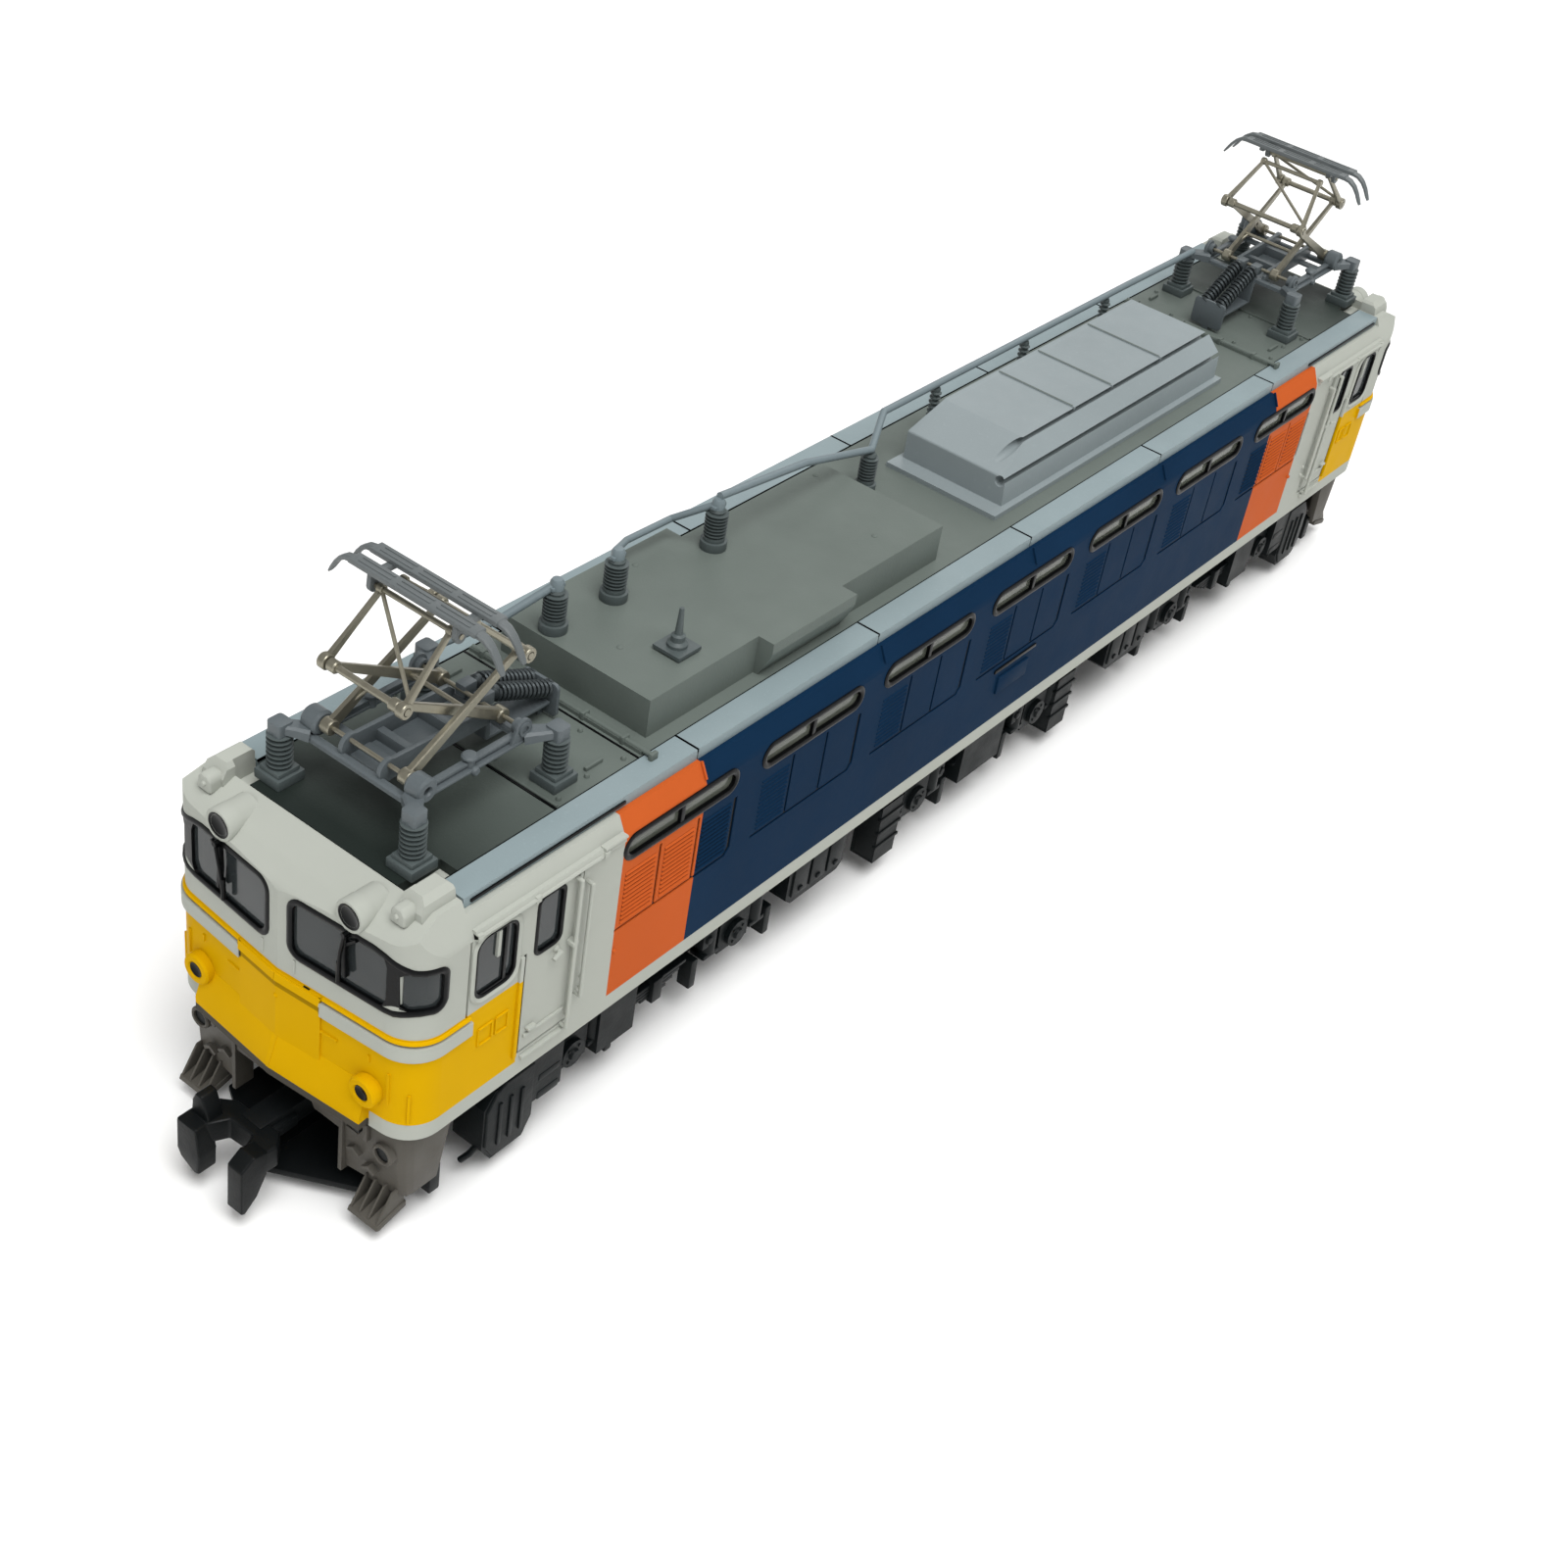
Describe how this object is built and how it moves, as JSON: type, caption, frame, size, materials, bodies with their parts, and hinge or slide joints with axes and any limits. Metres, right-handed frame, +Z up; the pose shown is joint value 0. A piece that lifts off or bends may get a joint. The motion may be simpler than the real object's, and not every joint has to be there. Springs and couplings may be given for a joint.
{
  "type": "model electric locomotive",
  "caption": "N-scale model electric locomotive with geared bogies, folding roof pantographs and hook couplers.",
  "frame": {"origin": "middle of the locomotive in plan, at the height of the wheel flanges' lowest points", "axes": "+X towards the front cab, +Y to the left side, +Z up"},
  "size_m": [0.1246, 0.02, 0.0351],
  "materials": {
    "painted_shell": "satin paint in bands: dark blue, orange and white sides, yellow nose",
    "roof_paint": "satin grey paint",
    "strip_paint": "satin light grey paint",
    "cover_paint": "satin light grey paint",
    "insulator_paint": "grey moulded plastic",
    "conduit_paint": "grey moulded plastic",
    "glazing": "clear moulding, lightly tinted",
    "circuit_board": "green solder mask",
    "rail_metal": "bright wire",
    "black_plastic": "black moulded plastic",
    "skirt_plastic": "dark grey moulded plastic",
    "die_cast": "zinc die casting",
    "steel": "bright steel",
    "magnet": "sintered magnet",
    "brass": "turned brass",
    "worm_plastic": "natural acetal",
    "wheel_metal": "blackened turned metal",
    "pantograph_frame_paint": "grey-blue paint",
    "pantograph_arm_metal": "khaki grey paint on etched metal"
  },
  "bodies": {
    "locomotive": {"body_shell": "painted_shell", "roof_panel": "roof_paint", "roof_side_strips": "strip_paint", "ventilator_cover": "cover_paint", "roof_insulators": "insulator_paint", "roof_conduit": "conduit_paint", "radio_antenna": "conduit_paint", "cab_glazing_front": "glazing", "cab_glazing_rear": "glazing", "side_glazing": "glazing", "light_guides": "glazing", "light_boards": "circuit_board", "handrails": "rail_metal", "windscreen_wipers": "black_plastic", "end_skirt_front": "skirt_plastic", "end_skirt_rear": "skirt_plastic", "chassis_left": "die_cast", "chassis_right": "die_cast", "chassis_screws": "steel", "motor_case": "steel", "motor_magnets": "magnet", "motor_brush_holder": "black_plastic", "shaft_bearings": "brass", "pickup_strips": "brass", "underfloor_boxes": "skirt_plastic", "pantograph_base_front": "pantograph_frame_paint", "pantograph_base_rear": "pantograph_frame_paint", "pantograph_springs": "steel"},
    "drive_line": {"motor_rotor": "steel", "flywheels": "brass", "worm_front": "worm_plastic", "worm_rear": "worm_plastic"},
    "bogie_front": {"bogie_frame_front": "skirt_plastic", "bogie_keeper_front": "black_plastic"},
    "wheelset_1": {"wheelset_1": "wheel_metal"},
    "wheelset_2": {"wheelset_2": "wheel_metal"},
    "worm_gear_front": {"worm_gear_front": "worm_plastic"},
    "bogie_middle": {"bogie_frame_middle": "skirt_plastic", "bogie_keeper_middle": "black_plastic"},
    "wheelset_3": {"wheelset_3": "wheel_metal"},
    "wheelset_4": {"wheelset_4": "wheel_metal"},
    "bogie_rear": {"bogie_frame_rear": "skirt_plastic", "bogie_keeper_rear": "black_plastic"},
    "wheelset_5": {"wheelset_5": "wheel_metal"},
    "wheelset_6": {"wheelset_6": "wheel_metal"},
    "worm_gear_rear": {"worm_gear_rear": "worm_plastic"},
    "coupler_carrier_front": {"coupler_spring_front": "steel"},
    "coupler_front": {"coupler_front": "black_plastic"},
    "lower_arm_a_front": {"lower_arm_a_front": "pantograph_arm_metal"},
    "lower_arm_b_front": {"lower_arm_b_front": "pantograph_arm_metal"},
    "upper_frame_a_front": {"upper_frame_a_front": "pantograph_arm_metal"},
    "upper_frame_b_front": {"upper_frame_b_front": "pantograph_arm_metal"},
    "collector_head_front": {"collector_head_front": "pantograph_frame_paint"},
    "coupler_carrier_rear": {"coupler_spring_rear": "steel"},
    "coupler_rear": {"coupler_rear": "black_plastic"},
    "lower_arm_a_rear": {"lower_arm_a_rear": "pantograph_arm_metal"},
    "lower_arm_b_rear": {"lower_arm_b_rear": "pantograph_arm_metal"},
    "upper_frame_a_rear": {"upper_frame_a_rear": "pantograph_arm_metal"},
    "upper_frame_b_rear": {"upper_frame_b_rear": "pantograph_arm_metal"},
    "collector_head_rear": {"collector_head_rear": "pantograph_frame_paint"}
  },
  "joints": [
    {"name": "motor_spin", "type": "hinge", "parent": "locomotive", "child": "drive_line", "pos_m": [0, 0, 0.01433], "axis": [1, 0, 0], "continuous": true},
    {"name": "bogie_front_swivel", "type": "hinge", "parent": "locomotive", "child": "bogie_front", "pos_m": [0.03533, 0, 0.0098], "axis": [0, 0, 1], "range_deg": [-6.5, 6.5]},
    {"name": "wheelset_1_spin", "type": "hinge", "parent": "bogie_front", "child": "wheelset_1", "pos_m": [0.043, 0, 0.00463], "axis": [0, 1, 0], "continuous": true},
    {"name": "wheelset_2_spin", "type": "hinge", "parent": "bogie_front", "child": "wheelset_2", "pos_m": [0.02766, 0, 0.00463], "axis": [0, 1, 0], "continuous": true},
    {"name": "worm_gear_front_spin", "type": "hinge", "parent": "bogie_front", "child": "worm_gear_front", "pos_m": [0.03533, 0, 0.00753], "axis": [0, 1, 0], "continuous": true},
    {"name": "bogie_middle_slide", "type": "slide", "parent": "locomotive", "child": "bogie_middle", "axis": [0, 1, 0], "range_m": [-0.002, 0.002]},
    {"name": "wheelset_3_spin", "type": "hinge", "parent": "bogie_middle", "child": "wheelset_3", "pos_m": [0.00767, 0, 0.00463], "axis": [0, 1, 0], "continuous": true},
    {"name": "wheelset_4_spin", "type": "hinge", "parent": "bogie_middle", "child": "wheelset_4", "pos_m": [-0.00767, 0, 0.00463], "axis": [0, 1, 0], "continuous": true},
    {"name": "bogie_rear_swivel", "type": "hinge", "parent": "locomotive", "child": "bogie_rear", "pos_m": [-0.03533, 0, 0.0098], "axis": [0, 0, 1], "range_deg": [-6.5, 6.5]},
    {"name": "wheelset_5_spin", "type": "hinge", "parent": "bogie_rear", "child": "wheelset_5", "pos_m": [-0.02766, 0, 0.00463], "axis": [0, 1, 0], "continuous": true},
    {"name": "wheelset_6_spin", "type": "hinge", "parent": "bogie_rear", "child": "wheelset_6", "pos_m": [-0.043, 0, 0.00463], "axis": [0, 1, 0], "continuous": true},
    {"name": "worm_gear_rear_spin", "type": "hinge", "parent": "bogie_rear", "child": "worm_gear_rear", "pos_m": [-0.03533, 0, 0.00753], "axis": [0, 1, 0], "continuous": true},
    {"name": "coupler_front_swing", "type": "hinge", "parent": "bogie_front", "child": "coupler_carrier_front", "pos_m": [0.05293, 0, 0.0042], "axis": [0, 0, 1], "range_deg": [-6, 6]},
    {"name": "coupler_front_lift", "type": "hinge", "parent": "coupler_carrier_front", "child": "coupler_front", "pos_m": [0.05293, 0, 0.0042], "axis": [0, -1, 0], "range_deg": [0, 6]},
    {"name": "pantograph_front_fold", "type": "hinge", "parent": "locomotive", "child": "lower_arm_a_front", "pos_m": [0.0446, 0, 0.0266], "axis": [0, -1, 0], "range_deg": [-25, 6]},
    {"name": "lower_arm_b_front_turn", "type": "hinge", "parent": "locomotive", "child": "lower_arm_b_front", "pos_m": [0.052, 0, 0.0266], "axis": [0, 1, 0], "range_deg": [-25.5, 6.5]},
    {"name": "upper_frame_a_front_turn", "type": "hinge", "parent": "lower_arm_a_front", "child": "upper_frame_a_front", "pos_m": [0.0524, 0, 0.03095], "axis": [0, 1, 0], "range_deg": [-55, 13.58]},
    {"name": "upper_frame_b_front_turn", "type": "hinge", "parent": "lower_arm_b_front", "child": "upper_frame_b_front", "pos_m": [0.0442, 0, 0.03095], "axis": [0, -1, 0], "range_deg": [-55, 13.58]},
    {"name": "collector_head_front_level", "type": "hinge", "parent": "upper_frame_a_front", "child": "collector_head_front", "pos_m": [0.049, 0, 0.03404], "axis": [0, -1, 0], "range_deg": [-30, 7.58]},
    {"name": "coupler_rear_swing", "type": "hinge", "parent": "bogie_rear", "child": "coupler_carrier_rear", "pos_m": [-0.05293, 0, 0.0042], "axis": [0, 0, 1], "range_deg": [-6, 6]},
    {"name": "coupler_rear_lift", "type": "hinge", "parent": "coupler_carrier_rear", "child": "coupler_rear", "pos_m": [-0.05293, 0, 0.0042], "axis": [0, 1, 0], "range_deg": [0, 6]},
    {"name": "pantograph_rear_fold", "type": "hinge", "parent": "locomotive", "child": "lower_arm_a_rear", "pos_m": [-0.0446, 0, 0.0266], "axis": [0, 1, 0], "range_deg": [-25, 6]},
    {"name": "lower_arm_b_rear_turn", "type": "hinge", "parent": "locomotive", "child": "lower_arm_b_rear", "pos_m": [-0.052, 0, 0.0266], "axis": [0, -1, 0], "range_deg": [-25.5, 6.5]},
    {"name": "upper_frame_a_rear_turn", "type": "hinge", "parent": "lower_arm_a_rear", "child": "upper_frame_a_rear", "pos_m": [-0.0524, 0, 0.03095], "axis": [0, -1, 0], "range_deg": [-55, 13.58]},
    {"name": "upper_frame_b_rear_turn", "type": "hinge", "parent": "lower_arm_b_rear", "child": "upper_frame_b_rear", "pos_m": [-0.0442, 0, 0.03095], "axis": [0, 1, 0], "range_deg": [-55, 13.58]},
    {"name": "collector_head_rear_level", "type": "hinge", "parent": "upper_frame_a_rear", "child": "collector_head_rear", "pos_m": [-0.049, 0, 0.03404], "axis": [0, 1, 0], "range_deg": [-30, 7.58]}
  ],
  "couplings": [
    {"joint": "wheelset_1_spin", "follows": "motor_spin", "ratio": 0.066667},
    {"joint": "wheelset_2_spin", "follows": "motor_spin", "ratio": 0.066667},
    {"joint": "worm_gear_front_spin", "follows": "motor_spin", "ratio": -0.038462},
    {"joint": "wheelset_5_spin", "follows": "motor_spin", "ratio": 0.066667},
    {"joint": "wheelset_6_spin", "follows": "motor_spin", "ratio": 0.066667},
    {"joint": "worm_gear_rear_spin", "follows": "motor_spin", "ratio": -0.038462},
    {"joint": "lower_arm_b_front_turn", "follows": "pantograph_front_fold", "ratio": 1},
    {"joint": "upper_frame_a_front_turn", "follows": "pantograph_front_fold", "ratio": 2.18},
    {"joint": "upper_frame_b_front_turn", "follows": "pantograph_front_fold", "ratio": 2.18},
    {"joint": "collector_head_front_level", "follows": "pantograph_front_fold", "ratio": 1.18},
    {"joint": "lower_arm_b_rear_turn", "follows": "pantograph_rear_fold", "ratio": 1},
    {"joint": "upper_frame_a_rear_turn", "follows": "pantograph_rear_fold", "ratio": 2.18},
    {"joint": "upper_frame_b_rear_turn", "follows": "pantograph_rear_fold", "ratio": 2.18},
    {"joint": "collector_head_rear_level", "follows": "pantograph_rear_fold", "ratio": 1.18}
  ]
}
